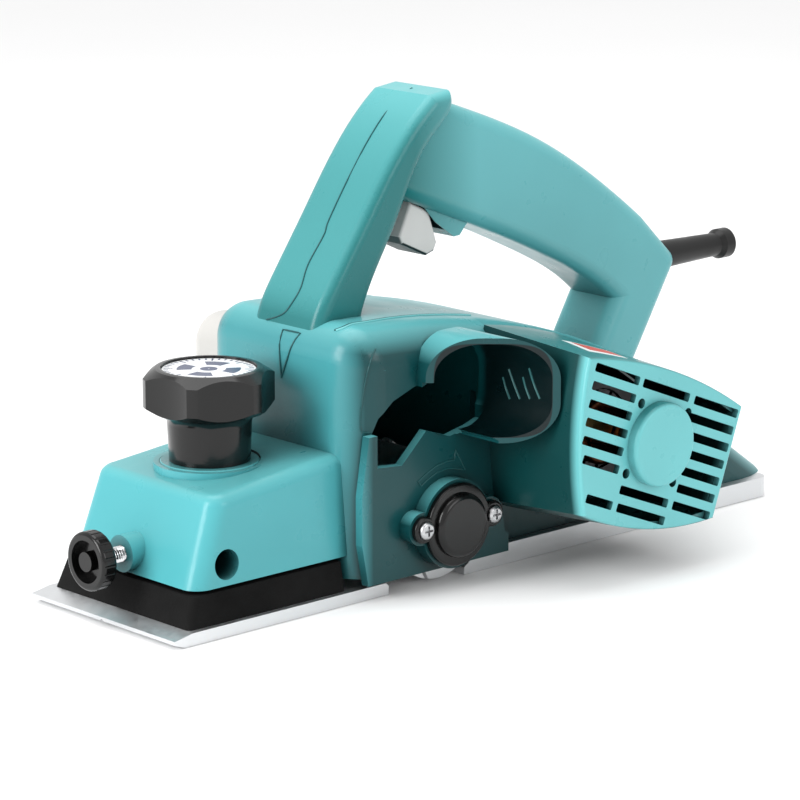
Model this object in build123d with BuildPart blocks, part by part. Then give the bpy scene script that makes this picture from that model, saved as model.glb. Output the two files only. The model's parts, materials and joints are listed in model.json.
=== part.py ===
"""Electric hand planer: a belt driven planer with an 82 mm cutter drum.

Millimetres. The drum axis lies over x = 0, -X is the nose, +Y is the belt side,
y = 0 is the middle of the cut and z = 0 is the plane of both soles.
"""

from build123d import *
from math import acos, atan2, cos, degrees, hypot, radians, sin, sqrt
import os

os.makedirs("parts", exist_ok=True)

# ---------------------------------------------------------------- driving sizes
SOLE_HALF = 41.0  # half the cutting width
CUT_R = 24.1  # radius swept by the blade edges
DRUM_R = 22.8  # cutter drum body
DRUM_Z = 24.2  # drum axis height, so that the edges clear the sole plane
DRUM_HALF = 40.5  # half the drum's length
SIDE_HALF = 43.0  # outer face of the drum chamber's side walls
CHAMBER_HALF = 41.5  # inner face of the same walls
PLATE_Y = 45.0  # outer face of the bearing plates
TAIL_HALF = 37.0  # half width of the body behind the drum
WALL = 3.0  # moulded wall thickness

FRONT_X = -43.0  # front wall of the drum chamber
CHAMBER_REAR_X = 28.5  # rear wall of the drum chamber
BODY_BOTTOM = 8.0
PLATE_BOTTOM = 6.5
DECK_TOP = 100.0
TAIL_X = 187.0

SHOE_TIP_X = -125.9
SHOE_FLAT_X = -120.9
SHOE_REAR_X = -24.9
SHOE_TOP = 4.6
SHOE_TRAVEL = 1.0  # depth of cut at one whole turn of the knob
REAR_SOLE_X0 = 13.4
REAR_SOLE_X1 = 184.0

NOSE_BOTTOM = 16.8
NOSE_FRONT_X = -112.4
NOSE_HALF = 36.0
COLLAR_TOP = 15.5
KNOB_X = -75.0
KNOB_SEAT = 52.0
STUD_R = 5.0
RUN = 0.05  # radial running clearance of every shaft and screw that turns

ROD_X = -97.3  # guide rod bore through the nose
ROD_Z = 24.4
ROD_R = 5.5
THUMB_Y = 2.0
THUMB_Z = 24.0
THUMB_R = 3.0
SHOE_SCREW_X = (-104.0, -52.0)
SHOE_SCREW_Y = (-28.0, 28.0)
SOLE_SCREW_X = (44.0, 106.0, 168.0)
SOLE_SCREW_Y = (-26.0, 26.0)
PIN_Y = (-24.0, 24.0)
EAR_X = (-17.2, 17.2)  # screws of the bearing cover, either side of the drum axis
COVER_SCREWS = ((-20, 10), (-18, 79), (82, 60), (82, 34))

MOTOR_X = 62.8
MOTOR_Z = 51.6
MOTOR_FACE_Y = -92.0
MOTOR_TILT = -21.5  # slope of the grille slots and of the stator
ROTOR_R = 15.0
SHAFT_R = 4.0

DRUM_PULLEY_R = 15.0
MOTOR_PULLEY_R = 12.5
BELT_Y0 = 54.0
BELT_Y1 = 62.0
COVER_Y = 70.0
MOUTH_X = 22.0  # the chute's mouth is cut slantwise, furthest out at its rear wall
MOUTH_Y = -82.0

PILLAR_HALF = 18.0
GRIP_HALF = 15.0
TRIGGER_HALF = 8.5
GRIP_SLOPE = -25.0

BLADE_ANGLE = -20.0  # where a blade stands at rest, from straight down


# ---------------------------------------------------------------- small helpers
def side_plane(y):
    """The plane across the tool at y. What is extruded from it grows towards -Y."""
    return Plane.XZ.offset(-y)


def bar(x, z, y0, y1, radius, mode=Mode.ADD):
    """A round bar, or with Mode.SUBTRACT a bore, along Y from y0 to y1."""
    with BuildSketch(side_plane(y1)) as section:
        with Locations((x, z)):
            Circle(radius)
    extrude(section.sketch, amount=y1 - y0, mode=mode)


def post(x, y, z0, z1, radius, mode=Mode.ADD):
    """A round post or bore along Z."""
    with BuildSketch(Plane.XY.offset(z0)) as section:
        with Locations((x, y)):
            Circle(radius)
    extrude(section.sketch, amount=z1 - z0, mode=mode)


def slab(points, y0, y1, mode=Mode.ADD):
    """A plate of the given outline in X and Z, from y0 to y1."""
    with BuildSketch(side_plane(y1)) as section:
        with BuildLine():
            Polyline(*points, close=True)
        make_face()
    extrude(section.sketch, amount=y1 - y0, mode=mode)


def box(low, high, mode=Mode.ADD):
    """A box between two corners."""
    size = [b - a for a, b in zip(low, high)]
    centre = [(a + b) / 2 for a, b in zip(low, high)]
    with Locations(tuple(centre)):
        Box(*size, mode=mode)


def save(builder, name):
    """Labels a finished piece and writes it as its own STEP file."""
    builder.part.label = name
    export_step(builder.part, "parts/" + name + ".step")


def cross_screw(plane, head_r, head_h, shank_r, shank_l):
    """A pan head screw with a cross recess. The head grows along the plane's normal."""
    with BuildPart(plane, mode=Mode.PRIVATE) as screw:
        with BuildSketch(plane):
            Circle(head_r)
        extrude(amount=head_h)
        fillet(screw.faces().sort_by(Axis(plane.origin, plane.z_dir))[-1].edges(), head_h * 0.55)
        with BuildSketch(plane.offset(head_h)):
            Rectangle(head_r * 1.2, head_r * 0.28)
            Rectangle(head_r * 0.28, head_r * 1.2)
        extrude(amount=-head_h * 0.6, mode=Mode.SUBTRACT)
        with BuildSketch(plane):
            Circle(shank_r)
        extrude(amount=-shank_l)
    return screw.part


def countersunk_screws(across_x, across_y, shank_r, top):
    """Countersunk screws pointing up, their cross recess just above the plane z = 0."""
    for x in across_x:
        for y in across_y:
            with BuildSketch(Plane.XY.offset(0.2)) as head:
                with Locations((x, y)):
                    Circle(4.0)
            extrude(head.sketch, amount=1.8, taper=45)
            post(x, y, 0.2, top, shank_r)
            box((x - 2.4, y - 0.4, 0), (x + 2.4, y + 0.4, 1.2), mode=Mode.SUBTRACT)
            box((x - 0.4, y - 2.4, 0), (x + 0.4, y + 2.4, 1.2), mode=Mode.SUBTRACT)


def countersunk_holes(across_x, across_y):
    """Holes for countersunk screws, opening downwards at the plane z = 0."""
    for x in across_x:
        for y in across_y:
            post(x, y, -1, 9, 2.2, mode=Mode.SUBTRACT)
            with BuildSketch(Plane.XY) as sink:
                with Locations((x, y)):
                    Circle(4.2)
            extrude(sink.sketch, amount=2.0, taper=45, mode=Mode.SUBTRACT)


# ---------------------------------------------------------------- outlines
def deck_outline(wall, x0, x1, bottom):
    """Side view of the body under its falling deck, drawn inwards by wall, from x0 to x1."""
    top = DECK_TOP - wall
    front = FRONT_X + wall
    rear = TAIL_X - wall
    corner = 12.0 - wall
    start = (front + corner, top)
    middle = (38.0, 92.0 - wall)
    knee = (100.0 - wall / 2, 72.0 - wall)
    foot = (rear, knee[1] - (rear - knee[0]) * 0.7)
    with BuildSketch(side_plane(0)) as outline:
        with BuildLine():
            Polyline(foot, (rear, bottom), (front, bottom), (front, top - corner))
            RadiusArc((front, top - corner), start, corner)
            ThreePointArc(start, middle, knee)
            Line(knee, foot)
        make_face()
        with Locations(((x0 + x1) / 2, 50)):
            Rectangle(x1 - x0, 140, mode=Mode.INTERSECT)
    return outline.sketch


def motor_outline(grow, inset=0.0):
    """Side view of the motor housing; grow widens it except towards the chip chute."""
    left = 22.4 + inset
    right = 109.6 + grow - inset
    with BuildLine(Plane.XZ) as wire:
        ThreePointArc((left + 2.5, 30.6 - grow + inset), (left, 56.0), (left + 4.5, 89.2 + grow - inset))
        ThreePointArc(
            (left + 4.5, 89.2 + grow - inset),
            (68.0 + grow / 3, 78.8 + grow - inset),
            (right, 57.8 + grow * 0.6 - inset),
        )
        Line((right, 57.8 + grow * 0.6 - inset), (right - 15.0, 17.0 - grow + inset))
        ThreePointArc(
            (right - 15.0, 17.0 - grow + inset),
            (58.0, 19.4 - grow + inset),
            (left + 2.5, 30.6 - grow + inset),
        )
    return wire.wires()[0]


def motor_block(y_face, y_root, inset=0.0):
    """The tapered block of the motor housing, grown towards the body by its draft."""
    grow = 3.6
    near = Pos(0, y_face, 0) * motor_outline(0, inset)
    far = Pos(0, y_root, 0) * motor_outline(grow, inset)
    return Solid.make_loft([near, far], ruled=True)


def chute_outline(wall):
    """Side view of the chip chute's mouth, drawn inwards by wall."""
    x0 = -13.0 + wall
    x1 = 22.0 - wall
    z0 = 56.5 + wall
    z1 = 95.5 - wall
    with BuildSketch(side_plane(-CHAMBER_HALF + wall)) as outline:
        with Locations(((x0 + x1) / 2, (z0 + z1) / 2)):
            RectangleRounded(x1 - x0, z1 - z0, 15 - wall)
    return outline.sketch


def belt_cover_profile(inset, y):
    """Side view of the belt cover, drawn inwards by inset, on the plane across the tool at y."""
    with BuildSketch(side_plane(y)) as outline:
        with BuildLine():
            rim = [(-27, 2.5), (-27, 90), (30, 84), (62, 76), (90, 66), (94, 30), (70, 20), (34, 2.5)]
            FilletPolyline(*rim, radius=[10, 12, 16, 16, 14, 14, 14, 12], close=True)
        make_face()
        if inset:
            offset(amount=-inset, mode=Mode.REPLACE)
    return outline.sketch


# ---------------------------------------------------------------- the body casting
def hood(wall, half_front, half_rear, floor_front, floor_rear, round_front, round_rear):
    """The drum chamber and the tail under one falling deck, drawn inwards by wall."""
    front = deck_outline(wall, FRONT_X, CHAMBER_REAR_X - wall, floor_front)
    rear = deck_outline(wall, CHAMBER_REAR_X + wall, TAIL_X, floor_rear)
    with BuildPart(mode=Mode.PRIVATE) as chamber:
        extrude(front, amount=half_front, both=True)
        long_top = chamber.edges().filter_by(lambda e: e.center().Z > 60 and abs(e.center().Y) > 30)
        fillet(long_top, round_front)
    with BuildPart(mode=Mode.PRIVATE) as tail:
        extrude(rear, amount=half_rear, both=True)
        low = CHAMBER_REAR_X + wall
        side = tail.edges().filter_by(lambda e: abs(e.center().Y) > 30 and e.center().Z > 14)
        fillet(side.filter_by(lambda e: e.center().X > low + 3), round_rear)
    return chamber.part, tail.part


outer_chamber, outer_tail = hood(0, SIDE_HALF, TAIL_HALF, BODY_BOTTOM, BODY_BOTTOM, 15, 12)
inner_chamber, inner_tail = hood(WALL, CHAMBER_HALF, TAIL_HALF - WALL, -5, -5, 13, 9)
motor_outer = motor_block(MOTOR_FACE_Y, -TAIL_HALF)
motor_inner = motor_block(MOTOR_FACE_Y + 2.6, -31.0, inset=2.6)
motor_bay = motor_inner & Pos(60, -34, 50) * Box(200, 8, 200)
chute_outer = extrude(chute_outline(0), amount=43)
chute_inner = extrude(chute_outline(2.2), amount=50)

with BuildPart() as nose_shape:
    top_z = 58.0
    rise = (top_z - NOSE_BOTTOM) / 32.0
    with BuildSketch(Plane.XY.offset(NOSE_BOTTOM)):
        with BuildLine():
            Polyline(
                (NOSE_FRONT_X, -NOSE_HALF),
                (FRONT_X + 2, -NOSE_HALF),
                (FRONT_X + 2, NOSE_HALF),
                (NOSE_FRONT_X, NOSE_HALF),
                close=True,
            )
        make_face()
    with BuildSketch(Plane.XY.offset(top_z)):
        with BuildLine():
            front_top = NOSE_FRONT_X + 11.3 * rise
            half_top = NOSE_HALF - 2.0 * rise
            Polyline(
                (front_top, -half_top),
                (FRONT_X + 2, -half_top),
                (FRONT_X + 2, half_top),
                (front_top, half_top),
                close=True,
            )
        make_face()
    loft(ruled=True)
    roof = Plane(origin=(-101.0, 0, 48.6), x_dir=(1, 0, 0.1), z_dir=(-0.1, 0, 1))
    split(bisect_by=roof, keep=Keep.BOTTOM)
    uprights = nose_shape.edges().filter_by(lambda e: e.length > 25 and e.center().X < -80 and abs(e.center().Y) > 20)
    fillet(uprights, 7)
    rim = nose_shape.faces().sort_by(Axis.Z)[-1].edges().filter_by(lambda e: e.center().X < FRONT_X)
    fillet(rim, 5)

with BuildPart() as body_shape:
    add(outer_chamber)
    add(outer_tail)

# recess of the belt case behind the drum chamber
with BuildPart() as case_recess:
    extrude(belt_cover_profile(WALL, PLATE_Y), amount=6.0)
    case_wall = CHAMBER_REAR_X + WALL
    slab([(-40, 0), (-40, 100), (case_wall, 100), (case_wall, 0)], PLATE_Y - 7, PLATE_Y + 1, mode=Mode.SUBTRACT)

with BuildPart() as main_frame:
    add(outer_chamber)
    add(outer_tail)
    add(nose_shape.part)
    # side plates that carry the drum bearings
    plate = [(-38, 62), (-41.5, 40), (-41.5, 22), (-38.5, PLATE_BOTTOM), (32.5, PLATE_BOTTOM)]
    plate += [(32.5, 13.5), (30.5, 14.5), (24.5, 52.0), (24.5, 62)]
    slab(plate, -PLATE_Y, -CHAMBER_HALF)
    slab(plate, CHAMBER_HALF, PLATE_Y)
    # belt case
    extrude(belt_cover_profile(0, PLATE_Y), amount=PLATE_Y - TAIL_HALF + 2)
    add(case_recess.part, mode=Mode.SUBTRACT)
    # bearing housings
    bar(0, DRUM_Z, -50.5, -PLATE_Y, 16.8)
    bar(0, DRUM_Z, PLATE_Y, 52, 17.5)
    bar(MOTOR_X, MOTOR_Z, TAIL_HALF - WALL, PLATE_Y, 19)
    for x, z in COVER_SCREWS:
        bar(x, z, TAIL_HALF if x > CHAMBER_REAR_X else CHAMBER_HALF, PLATE_Y, 5.0)
    box((0, TAIL_HALF - 4, 0), (TAIL_X, SOLE_HALF + 0.5, BODY_BOTTOM), mode=Mode.SUBTRACT)
    for ear_x in EAR_X:
        bar(ear_x, DRUM_Z + 1, -50.5, -PLATE_Y, 6.2)
    # chip chute
    add(chute_outer)
    # hollows
    add(inner_chamber, mode=Mode.SUBTRACT)
    add(inner_tail, mode=Mode.SUBTRACT)
    add(chute_inner, mode=Mode.SUBTRACT)
    open_side = [(-20, 46), (-20, 78.5), (-7, 79), (-7, 66), (6, 57.5), (6, 46)]
    slab(open_side, -99, -PLATE_Y - 1, mode=Mode.SUBTRACT)
    window = [(-34, 50), (-34, 62), (-31.5, 67.5), (-24.5, 73), (-14.8, 76.5), (-6, 79)]
    window += [(18, 79), (18, 60), (12, 58), (2, 56), (-10, 60), (-22, 49)]
    slab(window, -47, -38, mode=Mode.SUBTRACT)
    with BuildSketch(Plane.XY.offset(50)):
        with BuildLine():
            Polyline((-16, -PLATE_Y), (MOUTH_X, MOUTH_Y), (40, MOUTH_Y), (40, -99), (-16, -99), close=True)
        make_face()
    extrude(amount=50, mode=Mode.SUBTRACT)
    # inside of the nose block: open below, with bosses for the screw, pins and rod
    slab([(-108.6, 16), (-99.5, 43), (-44.6, 48), (-44.6, 16)], -31.5, 31.5, mode=Mode.SUBTRACT)
    bar(ROD_X, ROD_Z, -34, 34, 7.4)
    post(KNOB_X, 0, 30, 50, 15)
    for pin_y in PIN_Y:
        post(-60, pin_y, 20, 47, 7.5)
    with BuildSketch(Plane.YZ.offset(-115.0)):
        with Locations((THUMB_Y, THUMB_Z)):
            Circle(6.8)
    extrude(amount=12)
    # seat ring under the depth knob
    with BuildSketch(Plane.XY.offset(46)):
        with Locations((KNOB_X, 0)):
            Circle(20.5)
    extrude(amount=KNOB_SEAT - 46)
    post(KNOB_X, 0, 20, 60, 6.0, mode=Mode.SUBTRACT)
    post(KNOB_X, 0, 20, 44, 11.0, mode=Mode.SUBTRACT)
    post(KNOB_X, 0, KNOB_SEAT - 1.0, KNOB_SEAT + 4, 18.4, mode=Mode.SUBTRACT)
    for pin_y in PIN_Y:
        post(-60, pin_y, 15, 42, 4.0 + RUN, mode=Mode.SUBTRACT)
    bar(ROD_X, ROD_Z, -40, 40, ROD_R, mode=Mode.SUBTRACT)
    with BuildSketch(Plane.YZ.offset(-118.0)):
        with Locations((THUMB_Y, THUMB_Z)):
            Circle(THUMB_R + RUN)
    extrude(amount=20, mode=Mode.SUBTRACT)
    # bosses that take the sole screws
    for x in SOLE_SCREW_X:
        for y in SOLE_SCREW_Y:
            post(x, y, BODY_BOTTOM, 17, 4.6)
            wall_y = TAIL_HALF - 1.5 if y > 0 else 1.5 - TAIL_HALF
            box((x - 1.5, min(y, wall_y), BODY_BOTTOM), (x + 1.5, max(y, wall_y), 12))
            post(x, y, BODY_BOTTOM - 1, 16, 1.8, mode=Mode.SUBTRACT)
    # bearing seats and shaft holes
    bar(0, DRUM_Z, -49.5, -41, 11.0, mode=Mode.SUBTRACT)
    bar(0, DRUM_Z, 41, 51, 13.0, mode=Mode.SUBTRACT)
    bar(0, DRUM_Z, 50, 53, 9.0, mode=Mode.SUBTRACT)
    bar(MOTOR_X, MOTOR_Z, 36, 47, 15.0, mode=Mode.SUBTRACT)
    bar(MOTOR_X, MOTOR_Z, 30, 37, 12.0, mode=Mode.SUBTRACT)
    for x, z in COVER_SCREWS:
        bar(x, z, 41, PLATE_Y + 1, 1.9, mode=Mode.SUBTRACT)
    bar(0, DRUM_Z, -51, -49, 10.0, mode=Mode.SUBTRACT)
    for ear_x in EAR_X:
        bar(ear_x, DRUM_Z + 1, -52, -43, 1.7, mode=Mode.SUBTRACT)
    # opening for the motor in the near wall of the tail
    add(motor_bay, mode=Mode.SUBTRACT)
    slab([(33, 34), (33, 84), (62, 77), (98, 58), (88, 22)], -38, -33, mode=Mode.SUBTRACT)
    add(motor_outer, mode=Mode.SUBTRACT)

save(main_frame, "main_frame")


# ---------------------------------------------------------------- soles and depth adjuster
with BuildPart() as front_shoe:
    lip = [(SHOE_TIP_X, 1.7), (SHOE_FLAT_X, 0), (SHOE_REAR_X, 0), (SHOE_REAR_X, 3.4), (-26.2, SHOE_TOP)]
    lip += [(-117.6, SHOE_TOP), (SHOE_TIP_X, 3.1)]
    slab(lip, -SOLE_HALF, SOLE_HALF)
    # V groove along the sole for chamfering corners
    with BuildSketch(Plane.YZ.offset(-130)):
        with BuildLine():
            Polyline((-2.6, -0.1), (2.6, -0.1), (0, 2.5), close=True)
        make_face()
    extrude(amount=110, mode=Mode.SUBTRACT)
    countersunk_holes(SHOE_SCREW_X, SHOE_SCREW_Y)
save(front_shoe, "front_shoe")

with BuildPart() as shoe_collar:
    with BuildSketch(Plane.XY.offset(SHOE_TOP)):
        with BuildLine():
            Polyline((-117.4, -38.6), (-44.6, -38.6), (-44.6, 38.6), (-117.4, 38.6), close=True)
        make_face()
    with BuildSketch(Plane.XY.offset(COLLAR_TOP)):
        with BuildLine():
            Polyline((-113.4, -36.6), (-44.6, -36.6), (-44.6, 36.6), (-113.4, 36.6), close=True)
        make_face()
    loft(ruled=True)
    uprights = shoe_collar.edges().filter_by(lambda e: e.center().X < -110 and abs(e.center().Y) > 30)
    fillet(uprights.filter_by(lambda e: abs(e.center().Z - 10) < 2), 2.5)
    box((-109, -32, SHOE_TOP - 1), (-48, 32, 11.5), mode=Mode.SUBTRACT)
    post(KNOB_X, 0, SHOE_TOP, 20, 10.4)
    for pin_y in PIN_Y:
        post(-60, pin_y, SHOE_TOP, COLLAR_TOP, 7)
    for x in SHOE_SCREW_X:
        for y in SHOE_SCREW_Y:
            post(x, y, SHOE_TOP, 13, 4.2)
            post(x, y, 3, 12, 1.7, mode=Mode.SUBTRACT)
    post(KNOB_X, 0, 8, 25, STUD_R, mode=Mode.SUBTRACT)
    for pin_y in PIN_Y:
        post(-60, pin_y, 6, 25, 4.0, mode=Mode.SUBTRACT)
save(shoe_collar, "shoe_collar")

with BuildPart() as shoe_screws:
    countersunk_screws(SHOE_SCREW_X, SHOE_SCREW_Y, 1.7, 11.5)
save(shoe_screws, "shoe_screws")

with BuildPart() as guide_pins:
    for pin_y in PIN_Y:
        post(-60, pin_y, 6, 38, 4.0)
    chamfer(guide_pins.faces().group_by(Axis.Z)[-1].edges(), 0.8)
save(guide_pins, "guide_pins")

with BuildPart() as depth_stud:
    post(KNOB_X, 0, 8, 72, STUD_R)
    chamfer(depth_stud.faces().sort_by(Axis.Z)[-1].edges(), 0.8)
save(depth_stud, "depth_stud")

with BuildPart() as depth_spring:
    with BuildLine():
        Helix(pitch=4.4, height=19.8, radius=8.6, center=(KNOB_X, 0, 21.9))
    with BuildSketch(Plane(origin=(KNOB_X + 8.6, 0, 21.9), z_dir=(0, 1, 0.08))):
        Circle(0.9)
    sweep(is_frenet=True)
save(depth_spring, "depth_spring")

with BuildPart() as knob_ring:
    post(KNOB_X, 0, KNOB_SEAT - 1.0, KNOB_SEAT + 0.4, 18.2)
    post(KNOB_X, 0, KNOB_SEAT - 2.0, KNOB_SEAT + 2, 6.0, mode=Mode.SUBTRACT)
    chamfer(knob_ring.faces().sort_by(Axis.Z)[-1].edges(), 0.4)
save(knob_ring, "knob_ring")

with BuildPart() as depth_knob:
    stem_z0 = KNOB_SEAT + 0.5
    with BuildSketch(Plane.XZ):
        with BuildLine():
            stem = [(KNOB_X, stem_z0), (KNOB_X + 14.8, stem_z0), (KNOB_X + 15.4, 66.0)]
            Polyline(*stem)
            ThreePointArc((KNOB_X + 15.4, 66.0), (KNOB_X + 16.6, 69.2), (KNOB_X + 20.5, 70.6))
            Polyline((KNOB_X + 20.5, 70.6), (KNOB_X + 24.2, 73.0), (KNOB_X + 24.2, 83.4))
            Polyline((KNOB_X + 24.2, 83.4), (KNOB_X + 19.6, 86.4), (KNOB_X + 18.4, 86.6))
            Polyline((KNOB_X + 18.4, 86.6), (KNOB_X, 86.6), (KNOB_X, stem_z0))
        make_face()
    revolve(axis=Axis((KNOB_X, 0, 0), (0, 0, 1)))
    with BuildSketch(Plane.XY.offset(69.0)):
        with Locations((KNOB_X, 0)):
            with PolarLocations(69.6, 6, start_angle=5.8):
                Circle(48.8)
    extrude(amount=20, mode=Mode.SUBTRACT)
    post(KNOB_X, 0, 85.0, 90, 17.4, mode=Mode.SUBTRACT)
    post(KNOB_X, 0, 50, 76, STUD_R + RUN, mode=Mode.SUBTRACT)
save(depth_knob, "depth_knob")

with BuildPart() as knob_scale:
    post(KNOB_X, 0, 85.0, 85.8, 17.2)
save(knob_scale, "knob_scale")

with BuildPart() as thumb_screw:
    with BuildSketch(Plane.YZ.offset(-128.6)):
        with Locations((THUMB_Y, THUMB_Z)):
            Circle(THUMB_R)
    extrude(amount=22.4)
    with BuildSketch(Plane.YZ.offset(-106.2)):
        with Locations((THUMB_Y, THUMB_Z)):
            Circle(1.5)
    extrude(amount=1.6)
save(thumb_screw, "thumb_screw")

with BuildPart() as clamp_pad:
    with BuildSketch(Plane.YZ.offset(-106.1)):
        with Locations((THUMB_Y, THUMB_Z)):
            Circle(THUMB_R - 0.1)
            Circle(1.5 + RUN, mode=Mode.SUBTRACT)
    extrude(amount=1.8)
    with BuildSketch(Plane.YZ.offset(-104.3)):
        with Locations((THUMB_Y, THUMB_Z)):
            Circle(THUMB_R - 0.1)
    extrude(amount=1.2)
save(clamp_pad, "clamp_pad")

with BuildPart() as thumb_knob:
    with BuildSketch(Plane.YZ.offset(-131.2)):
        with Locations((THUMB_Y, THUMB_Z)):
            Circle(10.8)
    extrude(amount=6.4)
    fillet(thumb_knob.edges().filter_by(GeomType.CIRCLE), 1.4)
    with BuildSketch(Plane.YZ.offset(-132)):
        with Locations((THUMB_Y, THUMB_Z)):
            Circle(7.8)
            Circle(3.6, mode=Mode.SUBTRACT)
    extrude(amount=4.4, mode=Mode.SUBTRACT)
    with BuildSketch(Plane.YZ.offset(-128.6)):
        with Locations((THUMB_Y, THUMB_Z)):
            Circle(THUMB_R)
    extrude(amount=6, mode=Mode.SUBTRACT)
    with BuildSketch(Plane.YZ.offset(-131.5)):
        with Locations((THUMB_Y, THUMB_Z)):
            with PolarLocations(11.4, 24):
                Circle(0.8)
    extrude(amount=8, mode=Mode.SUBTRACT)
save(thumb_knob, "thumb_knob")

with BuildPart() as rear_sole:
    box((REAR_SOLE_X0, -SOLE_HALF, 0), (REAR_SOLE_X1, SOLE_HALF, BODY_BOTTOM))
    tail_ends = rear_sole.edges().filter_by(Axis.Z).group_by(Axis.X)[-1]
    fillet(tail_ends, 5)
    box((33, -33, 3.6), (178, 33, 12), mode=Mode.SUBTRACT)
    bar(0, DRUM_Z, -50, 50, CUT_R + 1.1, mode=Mode.SUBTRACT)
    for x in SOLE_SCREW_X:
        for y in SOLE_SCREW_Y:
            post(x, y, 3, BODY_BOTTOM, 4.6)
    countersunk_holes(SOLE_SCREW_X, SOLE_SCREW_Y)
save(rear_sole, "rear_sole")

with BuildPart() as sole_screws:
    countersunk_screws(SOLE_SCREW_X, SOLE_SCREW_Y, 1.8, 15.5)
save(sole_screws, "sole_screws")


# ---------------------------------------------------------------- cutter drum
FLAT = 15.0  # distance of the blade seats from the drum axis
BLADE_T = 1.4
EDGE = sqrt(CUT_R**2 - FLAT**2)  # reach of the edge along the seat
BOLT_SET = -8.6  # bolt line along the seat


def blade_frame(side):
    """Plane across the drum whose local y is a blade seat's normal, pointing out of the drum."""
    turn = radians(BLADE_ANGLE - 40 + 180 * side)
    out = Vector(sin(turn), 0, -cos(turn))
    along = Vector(-cos(turn), 0, -sin(turn))
    return Plane(origin=(0, DRUM_HALF, DRUM_Z), x_dir=along, z_dir=along.cross(out))


def drum_prism(points, length, mode=Mode.ADD, start=0.0):
    """The same cross section at both blade seats, along the drum."""
    for side in (0, 1):
        seat = blade_frame(side)
        sign = -1 if seat.z_dir.Y > 0 else 1
        with BuildSketch(seat.offset(start * sign)) as section:
            with BuildLine():
                Polyline(*points, close=True)
            make_face()
        extrude(section.sketch, amount=length * sign, mode=mode)


def drum_bolts(radius, low, high, mode=Mode.ADD):
    """Three bolt cylinders at each blade seat, standing on the seat's normal."""
    for side in (0, 1):
        seat = blade_frame(side)
        for y in (-28, 0, 28):
            foot = Vector(0, y, DRUM_Z) + seat.x_dir * BOLT_SET + seat.y_dir * low
            with BuildSketch(Plane(origin=foot, z_dir=seat.y_dir)) as section:
                Circle(radius)
            extrude(section.sketch, amount=high - low, mode=mode)


with BuildPart() as drum:
    bar(0, DRUM_Z, -DRUM_HALF, DRUM_HALF, DRUM_R)
    drum_prism([(-30, FLAT), (30, FLAT), (30, 30), (-30, 30)], 2 * DRUM_HALF, mode=Mode.SUBTRACT)
    drum_bolts(2.5, 8.5, 16, mode=Mode.SUBTRACT)
    bar(0, DRUM_Z, -60, 60, 7.0, mode=Mode.SUBTRACT)
save(drum, "drum")

with BuildPart() as drum_blades:
    drum_prism([(-1.0, FLAT), (EDGE, FLAT), (EDGE - BLADE_T, FLAT + BLADE_T), (-1.0, FLAT + BLADE_T)], 2 * DRUM_HALF)
save(drum_blades, "drum_blades")

with BuildPart() as blade_set_plates:
    drum_prism([(-12, FLAT), (-1.2, FLAT), (-1.2, FLAT + BLADE_T), (-12, FLAT + BLADE_T)], 2 * DRUM_HALF)
    drum_bolts(2.5, 8.5, 20, mode=Mode.SUBTRACT)
save(blade_set_plates, "blade_set_plates")

with BuildPart() as blade_clamps:
    bar(0, DRUM_Z, -DRUM_HALF, DRUM_HALF, DRUM_R)
    low = FLAT + BLADE_T
    drum_prism([(-30, low), (30, low), (30, -low), (-30, -low)], 2 * DRUM_HALF, mode=Mode.SUBTRACT)
    drum_prism([(12.5, 0), (30, 0), (30, 30), (12.5, 30)], 2 * DRUM_HALF, mode=Mode.SUBTRACT)
    drum_bolts(2.5, 8.5, 30, mode=Mode.SUBTRACT)
    drum_bolts(4.4, 18.6, 30, mode=Mode.SUBTRACT)
save(blade_clamps, "blade_clamps")

with BuildPart() as blade_bolts:
    drum_bolts(2.5, 8.5, 19)
    drum_bolts(4.0, 18.6, 21.0)
    drum_bolts(2.0, 19.6, 22, mode=Mode.SUBTRACT)
save(blade_bolts, "blade_bolts")

with BuildPart() as drum_shaft:
    bar(0, DRUM_Z, -DRUM_HALF - 0.8, DRUM_HALF + 1.2, 7.0)
    bar(0, DRUM_Z, -49.2, -DRUM_HALF, SHAFT_R)
    bar(0, DRUM_Z, DRUM_HALF, 52.6, 5.0)
    bar(0, DRUM_Z, 52, 66.5, SHAFT_R)
save(drum_shaft, "drum_shaft")


def ring(x, z, y0, y1, outer, inner):
    """A ring along Y: a bearing, core or fan plate."""
    bar(x, z, y0, y1, outer)
    bar(x, z, y0 - 1, y1 + 1, inner, mode=Mode.SUBTRACT)


def bearing(x, z, y0, y1, outer, inner):
    """A shielded ball bearing as one solid, with its shield grooves on both faces."""
    with BuildPart() as made:
        ring(x, z, y0, y1, outer, inner + RUN)
        for y in (y0, y1):
            with BuildSketch(side_plane(y + 0.5)) as groove:
                with Locations((x, z)):
                    Circle(outer - 1.8)
                    Circle(inner + 1.8, mode=Mode.SUBTRACT)
            extrude(groove.sketch, amount=1.0, mode=Mode.SUBTRACT)
    return made


drum_bearing_left = bearing(0, DRUM_Z, -49.0, -42.0, 11.0, SHAFT_R)
save(drum_bearing_left, "drum_bearing_left")
drum_bearing_right = bearing(0, DRUM_Z, 42.4, 50.4, 13.0, 5.0)
save(drum_bearing_right, "drum_bearing_right")
motor_bearing_left = bearing(MOTOR_X, MOTOR_Z, -94.0, -87.0, 11.0, SHAFT_R)
save(motor_bearing_left, "motor_bearing_left")
motor_bearing_right = bearing(MOTOR_X, MOTOR_Z, 36.0, 45.0, 15.0, 5.0)
save(motor_bearing_right, "motor_bearing_right")


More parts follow.
